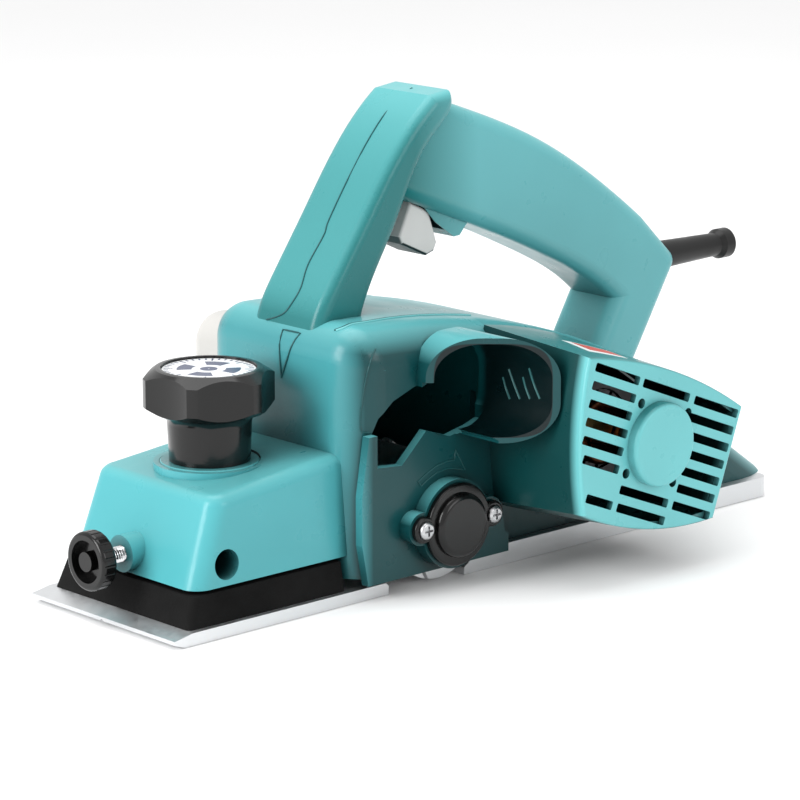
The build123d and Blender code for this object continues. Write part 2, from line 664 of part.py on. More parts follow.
# ---------------------------------------------------------------- belt drive
def pulley(x, z, radius, shaft):
    """A grooved pulley for a ribbed belt."""
    with BuildPart() as made:
        bar(x, z, BELT_Y0 - 0.6, BELT_Y1 + 0.6, radius)
        for rib in range(4):
            y = BELT_Y0 + 1.0 + 2.0 * rib
            with BuildSketch(side_plane(y + 0.5)) as groove:
                with Locations((x, z)):
                    Circle(radius + 1)
                    Circle(radius - 1.0, mode=Mode.SUBTRACT)
            extrude(groove.sketch, amount=1.0, mode=Mode.SUBTRACT)
        bar(x, z, BELT_Y0 - 2, BELT_Y1 + 2, shaft, mode=Mode.SUBTRACT)
    return made


drum_pulley = pulley(0, DRUM_Z, DRUM_PULLEY_R, SHAFT_R)
save(drum_pulley, "drum_pulley")
motor_pulley = pulley(MOTOR_X, MOTOR_Z, MOTOR_PULLEY_R, SHAFT_R)
save(motor_pulley, "motor_pulley")


def belt_loop(drum_r, motor_r):
    """Outline of a belt run around both pulleys at the given radii."""
    span = hypot(MOTOR_X, MOTOR_Z - DRUM_Z)
    rise = atan2(MOTOR_Z - DRUM_Z, MOTOR_X)
    open_angle = acos((drum_r - motor_r) / span)
    points = []
    for turn in (rise + open_angle, rise - open_angle):
        ahead = Vector(cos(turn), sin(turn))
        points.append((ahead * drum_r + Vector(0, DRUM_Z), ahead * motor_r + Vector(MOTOR_X, MOTOR_Z)))
    (d0, m0), (d1, m1) = points
    back = Vector(-cos(rise), -sin(rise)) * drum_r + Vector(0, DRUM_Z)
    ahead = Vector(cos(rise), sin(rise)) * motor_r + Vector(MOTOR_X, MOTOR_Z)
    with BuildSketch(side_plane(BELT_Y1)) as outline:
        with BuildLine():
            Line(d0, m0)
            ThreePointArc(m0, ahead, m1)
            Line(m1, d1)
            ThreePointArc(d1, back, d0)
        make_face()
    return outline.sketch


with BuildPart() as drive_belt:
    extrude(belt_loop(DRUM_PULLEY_R + 2.6, MOTOR_PULLEY_R + 2.6), amount=BELT_Y1 - BELT_Y0)
    extrude(belt_loop(DRUM_PULLEY_R + 0.4, MOTOR_PULLEY_R + 0.4), amount=BELT_Y1 - BELT_Y0, mode=Mode.SUBTRACT)
save(drive_belt, "drive_belt")

with BuildPart() as pulley_nut:
    with BuildSketch(side_plane(66.2)) as hexagon:
        with Locations((0, DRUM_Z)):
            RegularPolygon(6.5, 6)
            Circle(SHAFT_R, mode=Mode.SUBTRACT)
    extrude(hexagon.sketch, amount=3.4)
save(pulley_nut, "pulley_nut")


# ---------------------------------------------------------------- motor
def tilted_rectangle(y, width, height, radius):
    """A rounded rectangle round the motor axis, tilted as the stator is."""
    with BuildSketch(side_plane(y)) as section:
        with Locations(Location((MOTOR_X, MOTOR_Z, 0), (0, 0, MOTOR_TILT))):
            RectangleRounded(width, height, radius)
    return section.sketch


STATOR_Y0 = -62.0
STATOR_Y1 = -20.0

with BuildPart() as field_core:
    extrude(tilted_rectangle(STATOR_Y1, 54, 37, 8), amount=STATOR_Y1 - STATOR_Y0)
    bar(MOTOR_X, MOTOR_Z, -70, -10, ROTOR_R + 0.5, mode=Mode.SUBTRACT)
save(field_core, "field_core")

with BuildPart() as field_coils:
    for y0, y1 in ((STATOR_Y0 - 5, STATOR_Y0), (STATOR_Y1, STATOR_Y1 + 5)):
        extrude(tilted_rectangle(y1, 50, 36, 12), amount=y1 - y0)
        extrude(tilted_rectangle(y1, 41, 60, 1), amount=y1 - y0, mode=Mode.SUBTRACT)
save(field_coils, "field_coils")

with BuildPart() as armature_shaft:
    bar(MOTOR_X, MOTOR_Z, -93.6, -82, SHAFT_R)
    bar(MOTOR_X, MOTOR_Z, -82.5, 45.4, 5.0)
    bar(MOTOR_X, MOTOR_Z, 45, 65, SHAFT_R)
    chamfer(armature_shaft.faces().sort_by(Axis.Y)[-1].edges(), 0.5)
save(armature_shaft, "armature_shaft")

with BuildPart() as armature_core:
    ring(MOTOR_X, MOTOR_Z, STATOR_Y0 + 1, STATOR_Y1 - 1, ROTOR_R, 5.0)
    for slot in range(12):
        turn = radians(30 * slot)
        with BuildSketch(side_plane(STATOR_Y1)) as slit:
            centre = (MOTOR_X + 14.4 * cos(turn), MOTOR_Z + 14.4 * sin(turn))
            with Locations(Location((*centre, 0), (0, 0, degrees(turn)))):
                Rectangle(5.0, 1.6)
        extrude(slit.sketch, amount=STATOR_Y1 - STATOR_Y0, mode=Mode.SUBTRACT)
save(armature_core, "armature_core")

with BuildPart() as armature_windings:
    for y0, y1 in ((STATOR_Y0 - 4, STATOR_Y0 + 1), (STATOR_Y1 - 1, STATOR_Y1 + 6)):
        ring(MOTOR_X, MOTOR_Z, y0, y1, 13.2, 5.0)
    fillet(armature_windings.edges().filter_by(GeomType.CIRCLE).filter_by(lambda e: e.radius > 12), 1.8)
save(armature_windings, "armature_windings")

with BuildPart() as commutator:
    ring(MOTOR_X, MOTOR_Z, -81, -67, 10.0, 5.0)
    for bar_index in range(24):
        turn = radians(15 * bar_index)
        with BuildSketch(side_plane(-66)) as slit:
            centre = (MOTOR_X + 10 * cos(turn), MOTOR_Z + 10 * sin(turn))
            with Locations(Location((*centre, 0), (0, 0, degrees(turn)))):
                Rectangle(1.4, 0.4)
        extrude(slit.sketch, amount=12, mode=Mode.SUBTRACT)
save(commutator, "commutator")

with BuildPart() as cooling_fan:
    ring(MOTOR_X, MOTOR_Z, 8, 11, 22.0, 5.0)
    ring(MOTOR_X, MOTOR_Z, 8, 22, 8.0, 5.0)
    for blade in range(12):
        turn = radians(30 * blade)
        with BuildSketch(side_plane(20)) as vane:
            centre = (MOTOR_X + 14.5 * cos(turn), MOTOR_Z + 14.5 * sin(turn))
            with Locations(Location((*centre, 0), (0, 0, degrees(turn) + 25))):
                Rectangle(13.5, 1.6)
        extrude(vane.sketch, amount=10)
save(cooling_fan, "cooling_fan")

with BuildPart() as fan_baffle:
    ring(MOTOR_X, MOTOR_Z, -4, 0, 24.0, 14.5)
    ring(MOTOR_X, MOTOR_Z, 0, 22, 24.0, 22.6)
save(fan_baffle, "fan_baffle")


def across_commutator(near, far, width, height, mode=Mode.ADD):
    """The same block on both sides of the commutator, from near to far off its axis."""
    for side in (-1, 1):
        turn = radians(MOTOR_TILT)
        middle = (near + far) / 2 * side
        centre = (MOTOR_X + middle * cos(turn), MOTOR_Z + middle * sin(turn))
        with BuildSketch(side_plane(-74 + height / 2)) as section:
            with Locations(Location((*centre, 0), (0, 0, MOTOR_TILT))):
                Rectangle(far - near, width)
        extrude(section.sketch, amount=height, mode=mode)


with BuildPart() as brush_holders:
    across_commutator(11.0, 30.0, 10.0, 9.0)
    across_commutator(10.0, 28.5, 7.0, 6.0, mode=Mode.SUBTRACT)
save(brush_holders, "brush_holders")

with BuildPart() as carbon_brushes:
    across_commutator(10.3, 20.0, 6.8, 5.8)
save(carbon_brushes, "carbon_brushes")

with BuildPart() as brush_springs:
    across_commutator(20.2, 28.3, 4.0, 4.0)
save(brush_springs, "brush_springs")


# ---------------------------------------------------------------- motor housing
SLOT_PITCH = 6.65
SLOT_TOP = 19.6
motor_hollow = motor_block(MOTOR_FACE_Y + 2.6, -TAIL_HALF, inset=2.6)


def grille_slots():
    """Cooling slots of the end face, as (row, start, end) along the tilted rows."""
    slots = [(0, -16.2, 10.6), (6, -13.0, 14.7), (7, -12.0, 15.5), (7, -29.4, -14.7)]
    for row in range(6):
        slots.append((row, -43.2 + 0.95 * row, -18.4 + 0.4 * row))
    slots[-1] = (5, -36.6, -16.4)
    for row in range(7):
        slots.append((row, 13.6 if row < 2 else 17.5, 39.5))
    return slots


with BuildPart() as motor_housing:
    add(motor_outer)
    face_rim = motor_housing.faces().sort_by(Axis.Y)[0].edges()
    fillet(face_rim, 1.2)
    add(motor_hollow, mode=Mode.SUBTRACT)
    bar(MOTOR_X, MOTOR_Z, -96.5, -86.6, 15.8)
    boss_rim = motor_housing.faces().sort_by(Axis.Y)[0].edges()
    fillet(boss_rim, 1.6)
    bar(MOTOR_X, MOTOR_Z, -94.2, -80, 11.0, mode=Mode.SUBTRACT)
    with BuildSketch(side_plane(MOTOR_FACE_Y + 2.8)) as slots:
        with Locations(Location((MOTOR_X, MOTOR_Z, 0), (0, 0, MOTOR_TILT))):
            for row, start, end in grille_slots():
                with Locations(((start + end) / 2, SLOT_TOP - SLOT_PITCH * row)):
                    RectangleRounded(end - start, 3.3, 0.7)
    extrude(slots.sketch, amount=12, mode=Mode.SUBTRACT)
    with BuildSketch(side_plane(-85)) as holes:
        with Locations((MOTOR_X, MOTOR_Z)):
            with PolarLocations(18.6, 4, start_angle=28):
                Circle(1.9)
    extrude(holes.sketch, amount=12, mode=Mode.SUBTRACT)
save(motor_housing, "motor_housing")

with BuildPart() as bearing_cover:
    with BuildSketch(side_plane(-50.6)):
        with Locations((0, DRUM_Z)):
            Circle(15.6)
        with Locations((-17.2, DRUM_Z + 1), (17.2, DRUM_Z + 1)):
            Circle(5.0)
    extrude(amount=2.2)
    fillet(bearing_cover.faces().sort_by(Axis.Y)[0].edges(), 0.9)
    bar(0, DRUM_Z, -55.4, -52, 12.2)
    fillet(bearing_cover.faces().sort_by(Axis.Y)[0].edges(), 2.2)
    bar(0, DRUM_Z, -51.5, -50, 10.4, mode=Mode.SUBTRACT)
    for ear_x in EAR_X:
        bar(ear_x, DRUM_Z + 1, -56, -50, 1.7, mode=Mode.SUBTRACT)
        bar(ear_x, DRUM_Z + 1, -54, -52.2, 3.6, mode=Mode.SUBTRACT)
save(bearing_cover, "bearing_cover")

with BuildPart() as bearing_cover_screws:
    for ear_x in EAR_X:
        add(cross_screw(Plane(origin=(ear_x, -52.2, DRUM_Z + 1), z_dir=(0, -1, 0)), 3.3, 2.2, 1.7, 7.5))
save(bearing_cover_screws, "bearing_cover_screws")


# ---------------------------------------------------------------- handle
def handle_loop():
    """Side view of the grip and rear leg."""
    with BuildSketch(side_plane(0)) as outline:
        with BuildLine():
            Spline((24, 175.5), (50, 166.4), (82, 152.8), (115, 133.0), (137.5, 116.6))
            FilletPolyline((137.5, 116.6), (157.5, 97.5), (126.0, 46.0), radius=5)
            Polyline((126.0, 46.0), (98.0, 46.0), (121.5, 85.5))
            Spline((121.5, 85.5), (114, 91.5), (86, 107.0), (62, 117.8), (24, 133.0), (4, 141.0))
            Polyline((4, 141.0), (10, 160), (24, 175.5))
        make_face()
    return outline.sketch


def pillar_profile():
    """Side view of the front pillar."""
    with BuildSketch(side_plane(0)) as outline:
        with BuildLine():
            Spline((-39.5, 88), (-37.9, 101), (-31.5, 112), (-17.5, 132), (8.0, 166), (20.0, 176.6))
            Line((20.0, 176.6), (29.5, 177.8))
            Spline((29.5, 177.8), (30.5, 172.5), (21.5, 162), (2.0, 131), (-12.0, 106.6), (-18, 88))
            Line((-18, 88), (-39.5, 88))
        make_face()
    return outline.sketch


with BuildPart() as grip_shape:
    extrude(handle_loop(), amount=GRIP_HALF, both=True)
    rims = grip_shape.edges().filter_by(lambda e: abs(abs(e.center().Y) - GRIP_HALF) < 0.01 and e.length > 12)
    fillet(rims.filter_by(lambda e: e.center().Z > 50 and e.center().X > 26), 6.0)

with BuildPart() as pillar_shape:
    extrude(pillar_profile(), amount=PILLAR_HALF, both=True)
    rims = pillar_shape.edges().filter_by(lambda e: abs(abs(e.center().Y) - PILLAR_HALF) < 0.01 and e.length > 6)
    fillet(rims.filter_by(lambda e: e.center().Z > 90), 4.5)

CORD_Z = 96.0  # the cord leaves along X at this height
CORD_R = 3.6
CLAMP_X = 132.5
CLAMP_Z = CORD_Z - 7.5  # seat of the cord clamp
CLAMP_SCREW_Y = (-6.2, 6.2)
SLIDE = Vector(sin(radians(-GRIP_SLOPE)), 0, cos(radians(GRIP_SLOPE)))  # trigger's way into the grip
ALONG = Vector(cos(radians(GRIP_SLOPE)), 0, sin(radians(GRIP_SLOPE)))
TRIGGER_AT = Vector(20.0, 0, 128.0)
screw_spots = [(10, 153), (62, 146), (104, 124), (134, 108), (122, 70)]


def grip_box(along0, along1, up0, up1, half, mode=Mode.ADD):
    """A block lined up with the grip, measured from the trigger's seat."""
    frame = Plane(origin=TRIGGER_AT + SLIDE * up0, x_dir=ALONG, z_dir=SLIDE)
    with BuildSketch(frame) as section:
        with Locations(((along0 + along1) / 2, 0)):
            Rectangle(along1 - along0, 2 * half)
    extrude(section.sketch, amount=up1 - up0, mode=mode)


with BuildPart() as handle_shape:
    add(grip_shape.part)
    add(pillar_shape.part)
    # guard web behind the trigger
    web = [(22, 134), (46, 127), (40.5, 121.0), (37.5, 120.8), (28, 127.5)]
    slab(web, -9.5, 9.5)
    add(body_shape.part, mode=Mode.SUBTRACT)
    keep = handle_shape.solids().sort_by(Axis.Z)[-1]

with BuildPart() as handle_hollow:
    inner_half = GRIP_HALF - WALL
    above = [(16, 140), (30, 169.5), (50, 162.5), (82, 148.8), (113, 129.2), (135, 112.8), (152.5, 97)]
    below = [(129, 58), (112, 58), (126.5, 84), (123, 91), (88, 110.5), (63, 121.5), (27, 136.5)]
    slab(above + below, -inner_half, inner_half)
    ahead = [(-37, 92), (-33, 102), (-15, 132), (9, 162.5), (20, 172.5)]
    behind = [(26.5, 173.5), (19, 163.5), (-1, 132), (-15, 107), (-20, 92)]
    slab(ahead + behind, -inner_half, inner_half)


def handle_shell(sign):
    """One moulded half of the handle; sign is -1 for the motor side, +1 for the belt side."""
    with BuildPart() as half:
        add(keep)
        add(handle_hollow.part, mode=Mode.SUBTRACT)
        for x, z in screw_spots:
            bar(x, z, -GRIP_HALF + 2, GRIP_HALF - 2, 4.2)
        # ledge under the cord, slot for the trigger, seat for the cord guard
        slab([(125, 83.5), (125, CLAMP_Z), (139, CLAMP_Z), (139, 83.5)], -GRIP_HALF + 2, GRIP_HALF - 2)
        for y in CLAMP_SCREW_Y:
            post(CLAMP_X, y, 82, 90, 1.2, mode=Mode.SUBTRACT)
        grip_box(-7.6, 13.6, -16, 12, TRIGGER_HALF + 0.5, mode=Mode.SUBTRACT)
        with BuildSketch(Plane.YZ.offset(140)) as cord_hole:
            with Locations((0, CORD_Z)):
                Circle(6.0)
        extrude(cord_hole.sketch, amount=24, mode=Mode.SUBTRACT)
        split(bisect_by=Plane.XZ, keep=Keep.TOP if sign < 0 else Keep.BOTTOM)
        for x, z in screw_spots:
            if sign < 0:
                bar(x, z, -GRIP_HALF + 4, 1, 1.6, mode=Mode.SUBTRACT)
            else:
                bar(x, z, -1, 20, 1.6, mode=Mode.SUBTRACT)
                bar(x, z, GRIP_HALF - 3.2, 20, 3.6, mode=Mode.SUBTRACT)
    return half


handle_left = handle_shell(-1)
save(handle_left, "handle_left")
handle_right = handle_shell(1)
save(handle_right, "handle_right")

with BuildPart() as handle_screws:
    for x, z in screw_spots:
        head = Plane(origin=(x, GRIP_HALF - 3.2, z), z_dir=(0, 1, 0))
        add(cross_screw(head, 3.2, 2.2, 1.6, 20))
save(handle_screws, "handle_screws")

with BuildPart() as trigger:
    outline = [(-6.8, 6), (5, 6), (5, 4.5), (12.6, -3.5), (12.6, -7.0), (9.6, -9.8), (-4.4, -9.8), (-6.8, -7.8)]
    corners = [TRIGGER_AT + ALONG * along + SLIDE * up for along, up in outline]
    slab([(corner.X, corner.Z) for corner in corners], -TRIGGER_HALF, TRIGGER_HALF)
    rims = trigger.edges().filter_by(lambda e: abs(abs(e.center().Y) - TRIGGER_HALF) < 0.01)
    fillet(rims, 1.2)
save(trigger, "trigger")

with BuildPart() as trigger_spring:
    foot = TRIGGER_AT + SLIDE * 6.2 + ALONG * 2
    with BuildSketch(Plane(origin=foot, z_dir=SLIDE)) as section:
        Circle(2.6)
        Circle(2.0, mode=Mode.SUBTRACT)
    extrude(section.sketch, amount=6.6)
save(trigger_spring, "trigger_spring")

with BuildPart() as switch_body:
    grip_box(-6, 34, 13.0, 27.0, 8.5)
save(switch_body, "switch_body")

with BuildPart() as cord_guard:
    with BuildSketch(Plane.XZ):
        with BuildLine():
            sleeve = [(140.5, CORD_Z + CORD_R), (140.5, CORD_Z + 8.5), (143.5, CORD_Z + 8.5), (143.5, CORD_Z + 5.9)]
            sleeve += [(158, CORD_Z + 5.7), (193, CORD_Z + 4.7), (195, CORD_Z + 6.1), (199.9, CORD_Z + 6.1)]
            sleeve += [(200.6, CORD_Z + 5.2), (200.6, CORD_Z + CORD_R)]
            Polyline(*sleeve, close=True)
        make_face()
    revolve(axis=Axis((0, 0, CORD_Z), (1, 0, 0)))
save(cord_guard, "cord_guard")

with BuildPart() as cord_clamp:
    box((CLAMP_X - 4, -9, CLAMP_Z), (CLAMP_X + 4, 9, CORD_Z - 4.2))
    for y in CLAMP_SCREW_Y:
        post(CLAMP_X, y, 85, 95, 1.2, mode=Mode.SUBTRACT)
save(cord_clamp, "cord_clamp")

with BuildPart() as cord_clamp_screws:
    for y in CLAMP_SCREW_Y:
        head = Plane(origin=(CLAMP_X, y, CORD_Z - 4.2), z_dir=(0, 0, 1))
        add(cross_screw(head, 2.4, 1.6, 1.2, 7.0))
save(cord_clamp_screws, "cord_clamp_screws")


# ---------------------------------------------------------------- belt cover
with BuildPart() as belt_cover:
    extrude(belt_cover_profile(0, COVER_Y), amount=COVER_Y - PLATE_Y)
    fillet(belt_cover.faces().sort_by(Axis.Y)[-1].edges(), 7.0)
    extrude(belt_cover_profile(2.4, COVER_Y - 2.4), amount=40, mode=Mode.SUBTRACT)
    for x, z in COVER_SCREWS:
        bar(x, z, PLATE_Y, COVER_Y - 3, 5.0)
        bar(x, z, PLATE_Y - 1, COVER_Y + 2, 1.9, mode=Mode.SUBTRACT)
        bar(x, z, COVER_Y - 4, COVER_Y + 2, 4.2, mode=Mode.SUBTRACT)
save(belt_cover, "belt_cover")

with BuildPart() as belt_cover_screws:
    for x, z in COVER_SCREWS:
        head = Plane(origin=(x, COVER_Y - 4, z), z_dir=(0, 1, 0))
        add(cross_screw(head, 3.8, 2.6, 1.9, 24))
save(belt_cover_screws, "belt_cover_screws")
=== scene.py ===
"""Looks of the electric hand planer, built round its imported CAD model.

Metres, in the CAD's own frame: +X towards the heel, -Y towards the motor side,
+Y towards the belt side, +Z up, and z = 0 is the plane of the soles.
"""

import json
import math

import bmesh
import bpy
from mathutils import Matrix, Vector


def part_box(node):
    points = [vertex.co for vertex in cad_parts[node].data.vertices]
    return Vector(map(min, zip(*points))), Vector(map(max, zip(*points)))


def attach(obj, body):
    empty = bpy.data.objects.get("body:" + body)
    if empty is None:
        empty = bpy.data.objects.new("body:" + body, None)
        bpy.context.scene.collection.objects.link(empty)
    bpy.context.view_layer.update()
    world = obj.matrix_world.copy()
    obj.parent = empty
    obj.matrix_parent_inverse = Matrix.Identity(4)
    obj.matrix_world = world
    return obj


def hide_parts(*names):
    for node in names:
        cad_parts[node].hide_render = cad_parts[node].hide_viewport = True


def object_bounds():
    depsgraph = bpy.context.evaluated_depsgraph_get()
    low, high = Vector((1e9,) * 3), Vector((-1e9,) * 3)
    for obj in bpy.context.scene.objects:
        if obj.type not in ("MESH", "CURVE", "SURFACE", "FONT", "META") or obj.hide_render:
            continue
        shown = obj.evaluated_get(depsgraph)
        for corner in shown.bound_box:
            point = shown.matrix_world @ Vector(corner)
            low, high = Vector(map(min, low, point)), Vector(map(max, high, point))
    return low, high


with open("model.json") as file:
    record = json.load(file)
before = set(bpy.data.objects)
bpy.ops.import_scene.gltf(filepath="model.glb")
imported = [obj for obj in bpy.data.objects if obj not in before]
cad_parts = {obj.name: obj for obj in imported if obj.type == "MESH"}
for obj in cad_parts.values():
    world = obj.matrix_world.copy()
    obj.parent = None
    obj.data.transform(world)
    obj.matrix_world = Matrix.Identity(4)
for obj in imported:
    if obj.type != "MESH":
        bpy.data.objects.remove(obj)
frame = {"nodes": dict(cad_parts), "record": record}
cad_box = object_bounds()
nodes = frame["nodes"]
scene = bpy.context.scene
MM = 0.001

COAT_ROUGHNESS = 0.12
MIDDLE = (0.3, 0.7)  # the part of a noise's range that carries its contrast
DRIFT = (14, 2.0)  # slow changes of colour: noise scale and detail
PATCHES = (90, 4.0)  # changes of roughness: noise scale and detail
SKIN = (2600, 2.0)  # the grain of moulded plastic: noise scale and detail
SKIN_DEPTH = 0.00003
SKIN_STRENGTH = 0.5
# painted shade in hollows
RECESS_SHADE_TEAL = (0.0015, 0.016, 0.018)
# painted shade inside the chip chute, nearly black
CHUTE_SHADE_TEAL = (0.0008, 0.007, 0.008)
# painted shade on the trigger's faces that look down
UNDERSIDE_SHADE_BLACK = (0.012, 0.012, 0.013)


# ---------------------------------------------------------------- materials
class Surface:
    """A procedural material, put together socket by socket on one Principled shader."""

    def __init__(self, name, metallic=0.0, coat=0.0, specular=0.5):
        self.material = bpy.data.materials.new(name)
        self.material.use_nodes = True
        self.tree = self.material.node_tree
        self.shader = self.tree.nodes["Principled BSDF"]
        self.shader.inputs["Metallic"].default_value = metallic
        self.shader.inputs["Coat Weight"].default_value = coat
        self.shader.inputs["Coat Roughness"].default_value = COAT_ROUGHNESS
        self.shader.inputs["Specular IOR Level"].default_value = specular
        self.coords = self.tree.nodes.new("ShaderNodeTexCoord")

    def noise(self, scale, detail=3.0, stretch=(1, 1, 1), rough=0.5):
        """Noise in metres, finer where stretch is larger."""
        mapping = self.tree.nodes.new("ShaderNodeMapping")
        mapping.inputs["Scale"].default_value = stretch
        self.tree.links.new(self.coords.outputs["Object"], mapping.inputs["Vector"])
        made = self.tree.nodes.new("ShaderNodeTexNoise")
        made.inputs["Scale"].default_value = scale
        made.inputs["Detail"].default_value = detail
        made.inputs["Roughness"].default_value = rough
        self.tree.links.new(mapping.outputs["Vector"], made.inputs["Vector"])
        return made.outputs["Fac"]

    def ramp(self, value, low, high, start=0.0, end=1.0):
        """Maps a value between start and end to a number or colour between low and high."""
        if isinstance(low, (int, float)):
            made = self.tree.nodes.new("ShaderNodeMapRange")
            made.inputs["From Min"].default_value = start
            made.inputs["From Max"].default_value = end
            made.inputs["To Min"].default_value = low
            made.inputs["To Max"].default_value = high
            self.tree.links.new(value, made.inputs["Value"])
            return made.outputs["Result"]
        made = self.tree.nodes.new("ShaderNodeValToRGB")
        made.color_ramp.elements[0].position = start
        made.color_ramp.elements[1].position = end
        made.color_ramp.elements[0].color = (*low, 1)
        made.color_ramp.elements[1].color = (*high, 1)
        self.tree.links.new(value, made.inputs["Fac"])
        return made.outputs["Color"]

    def mix(self, factor, first, second):
        """Two colours mixed by a value; either may be a socket or a plain colour."""
        made = self.tree.nodes.new("ShaderNodeMix")
        made.data_type = "RGBA"
        self.tree.links.new(factor, made.inputs["Factor"])
        for socket, colour in ((made.inputs["A"], first), (made.inputs["B"], second)):
            if isinstance(colour, tuple):
                socket.default_value = (*colour, 1)
            else:
                self.tree.links.new(colour, socket)
        return made.outputs["Result"]

    def edges(self, low, high):
        """1 on sharp outer edges, 0 elsewhere, with pointiness from low to high in between."""
        geometry = self.tree.nodes.new("ShaderNodeNewGeometry")
        return self.ramp(geometry.outputs["Pointiness"], 0.0, 1.0, low, high)

    def bump(self, height, distance, strength):
        """Fine relief of a height in metres."""
        made = self.tree.nodes.new("ShaderNodeBump")
        made.inputs["Distance"].default_value = distance
        made.inputs["Strength"].default_value = strength
        self.tree.links.new(height, made.inputs["Height"])
        self.tree.links.new(made.outputs["Normal"], self.shader.inputs["Normal"])

    def set(self, socket, value):
        """Links a value that varies over the surface to one of the shader's sockets."""
        self.tree.links.new(value, self.shader.inputs[socket])


def painted_shade_along(made, axis, near, far, start, end):
    """Painted light and shade along the tool: a colour that goes from near to far along one axis of the
    tool, between start and end in metres.
    """
    parts = made.tree.nodes.new("ShaderNodeSeparateXYZ")
    made.tree.links.new(made.coords.outputs["Object"], parts.inputs["Vector"])
    place = made.ramp(parts.outputs[axis], 0.0, 1.0, start, end)
    drift = made.noise(*DRIFT)
    tones = []
    for tone in (near, far):
        lighter = tuple(c * 1.15 for c in tone)
        tones.append(made.ramp(drift, tone, lighter, *MIDDLE))
    return made.mix(place, *tones)


def sky_facing(made):
    """1 on faces that look up, 0 on upright ones: the mask for a painted highlight from above."""
    geometry = made.tree.nodes.new("ShaderNodeNewGeometry")
    parts = made.tree.nodes.new("ShaderNodeSeparateXYZ")
    made.tree.links.new(geometry.outputs["Normal"], parts.inputs["Vector"])
    return made.ramp(parts.outputs["Z"], 0.0, 1.0, 0.35, 0.95)


def recesses(made, reach):
    """1 deep inside hollows, 0 in the open: the mask for painted shade in hollows."""
    shade = made.tree.nodes.new("ShaderNodeAmbientOcclusion")
    shade.samples = 16
    shade.inputs["Distance"].default_value = reach
    return made.ramp(shade.outputs["AO"], 1.0, 0.0, 0.15, 0.62)


def arithmetic(made, kind, first, second=None):
    """One step of arithmetic on a value that varies over the surface."""
    step = made.tree.nodes.new("ShaderNodeMath")
    step.operation = kind
    made.tree.links.new(first, step.inputs[0])
    if isinstance(second, (int, float)):
        step.inputs[1].default_value = second
    elif second is not None:
        made.tree.links.new(second, step.inputs[1])
    return step.outputs["Value"]


def chute_inside(made):
    """1 on the inner walls of the chip chute, a rounded rectangle seen from the side, and 0 elsewhere: the
    mask for the chute's painted shade.
    """
    walls = (("X", 0.0045, 0.0154), ("Z", 0.0760, 0.0174))  # axis, middle and half width
    parts = made.tree.nodes.new("ShaderNodeSeparateXYZ")
    made.tree.links.new(made.coords.outputs["Object"], parts.inputs["Vector"])
    sides = []
    for axis, middle, half in walls:
        offset = arithmetic(made, "SUBTRACT", parts.outputs[axis], middle)
        share = arithmetic(made, "DIVIDE", arithmetic(made, "ABSOLUTE", offset), half)
        sides.append(arithmetic(made, "POWER", share, 4.0))
    across = made.ramp(arithmetic(made, "ADD", sides[0], sides[1]), 1.0, 0.0, 0.99, 1.04)
    out = made.ramp(parts.outputs["Y"], 1.0, 0.0, -0.046, -0.043)
    return arithmetic(made, "MULTIPLY", across, out)


def painted_light_moulding(name, axis, near, far, start, end, top, chute=False):
    """Moulded plastic with painted light and shade: its tone changes along an axis of the tool as painted
    shade, it is paler on top as a painted highlight and dark in hollows as painted shade.
    """
    made = Surface(name, coat=0.10, specular=0.30)
    # painted light and shade along the tool
    tone = painted_shade_along(made, axis, near, far, start, end)
    # painted highlight on faces that look up
    lit = made.mix(sky_facing(made), tone, top)
    # painted shade in hollows
    shaded = made.mix(recesses(made, 0.035), lit, RECESS_SHADE_TEAL)
    # painted shade: the chute's inner walls nearly black
    if chute:
        shaded = made.mix(chute_inside(made), shaded, CHUTE_SHADE_TEAL)
    made.set("Base Color", shaded)
    made.set("Roughness", made.ramp(made.noise(*PATCHES), 0.26, 0.36, *MIDDLE))
    made.bump(made.noise(*SKIN), SKIN_DEPTH, SKIN_STRENGTH)
    return made.material


def underside_painted_shade(name, dark, light):
    """Pale plastic with painted shade: it turns black on the faces that look down."""
    made = Surface(name, specular=0.4)
    geometry = made.tree.nodes.new("ShaderNodeNewGeometry")
    parts = made.tree.nodes.new("ShaderNodeSeparateXYZ")
    made.tree.links.new(geometry.outputs["Normal"], parts.inputs["Vector"])
    below = made.ramp(parts.outputs["Z"], 1.0, 0.0, -0.45, -0.25)
    drift = made.ramp(made.noise(40, 2.0), dark, light, *MIDDLE)
    made.set("Base Color", made.mix(below, drift, UNDERSIDE_SHADE_BLACK))
    made.set("Roughness", made.ramp(made.noise(*PATCHES), 0.35, 0.48, *MIDDLE))
    made.bump(made.noise(*SKIN), SKIN_DEPTH, SKIN_STRENGTH)
    return made.material


def moulded(name, dark, light, rough=(0.22, 0.32), coat=0.25, grain=SKIN[0], depth=SKIN_DEPTH, shine=0.4):
    """Moulded plastic: slow colour drift and fine skin grain."""
    made = Surface(name, coat=coat, specular=shine)
    made.set("Base Color", made.ramp(made.noise(*DRIFT), dark, light, *MIDDLE))
    made.set("Roughness", made.ramp(made.noise(*PATCHES), rough[0], rough[1], *MIDDLE))
    made.bump(made.noise(grain, SKIN[1]), depth, SKIN_STRENGTH)
    return made.material


def metal(name, dark, light, rough, stretch=(1, 1, 1), grain=900, depth=0.00002):
    """Bare metal with its tool marks drawn out along the axes whose stretch is small."""
    made = Surface(name, metallic=1.0)
    marks = made.noise(grain, 5.0, stretch, 0.65)
    tone = made.ramp(marks, dark, light, *MIDDLE)
    worn = tuple(min(1, c * 1.15) for c in light)
    made.set("Base Color", made.mix(made.edges(0.52, 0.58), tone, worn))
    made.set("Roughness", made.ramp(marks, rough[0], rough[1], *MIDDLE))
    made.bump(marks, depth, 0.6)
    return made.material


